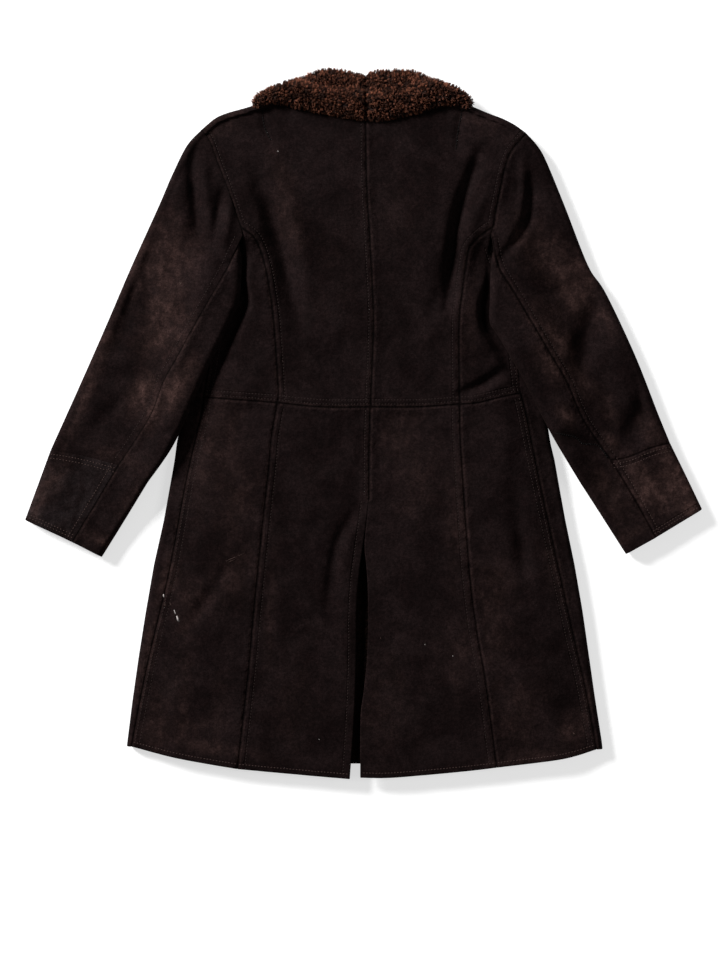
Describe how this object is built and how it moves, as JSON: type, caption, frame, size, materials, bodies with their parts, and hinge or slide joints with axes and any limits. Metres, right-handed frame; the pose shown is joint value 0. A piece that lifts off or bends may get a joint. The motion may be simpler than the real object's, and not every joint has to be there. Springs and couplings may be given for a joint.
{
  "type": "shearling coat",
  "caption": "Mid-thigh shearling coat in dark brown suede with a curly brown fur collar, laid flat with its back up and its sleeves out to the sides.",
  "frame": {"origin": "middle of the coat's outline on the surface that it lies on, under the middle of its box", "axes": "+Y runs up the back from hem to collar, +X to the picture's right, which is the wearer's right, and +Z out of the back, up from the surface"},
  "size_m": [0.951, 0.9976, 0.0329],
  "materials": {
    "suede": "matt brushed suede, dark brown, worn lighter in patches",
    "fur": "curly shearling fur, warm brown with near-black roots"
  },
  "bodies": {
    "root": {"back_left": "suede", "back_right": "suede", "back_side_left": "suede", "back_side_right": "suede", "skirt_back_left": "suede", "skirt_back_right": "suede", "skirt_side_left": "suede", "skirt_side_right": "suede", "front_left": "suede", "front_right": "suede", "skirt_front_left": "suede", "skirt_front_right": "suede", "sleeve_top_left": "suede", "sleeve_top_right": "suede", "sleeve_under_left": "suede", "sleeve_under_right": "suede", "cuff_left": "suede", "cuff_right": "suede", "collar_left": "fur", "collar_right": "fur", "collar_front_left": "fur", "collar_front_right": "fur"}
  },
  "joints": []
}
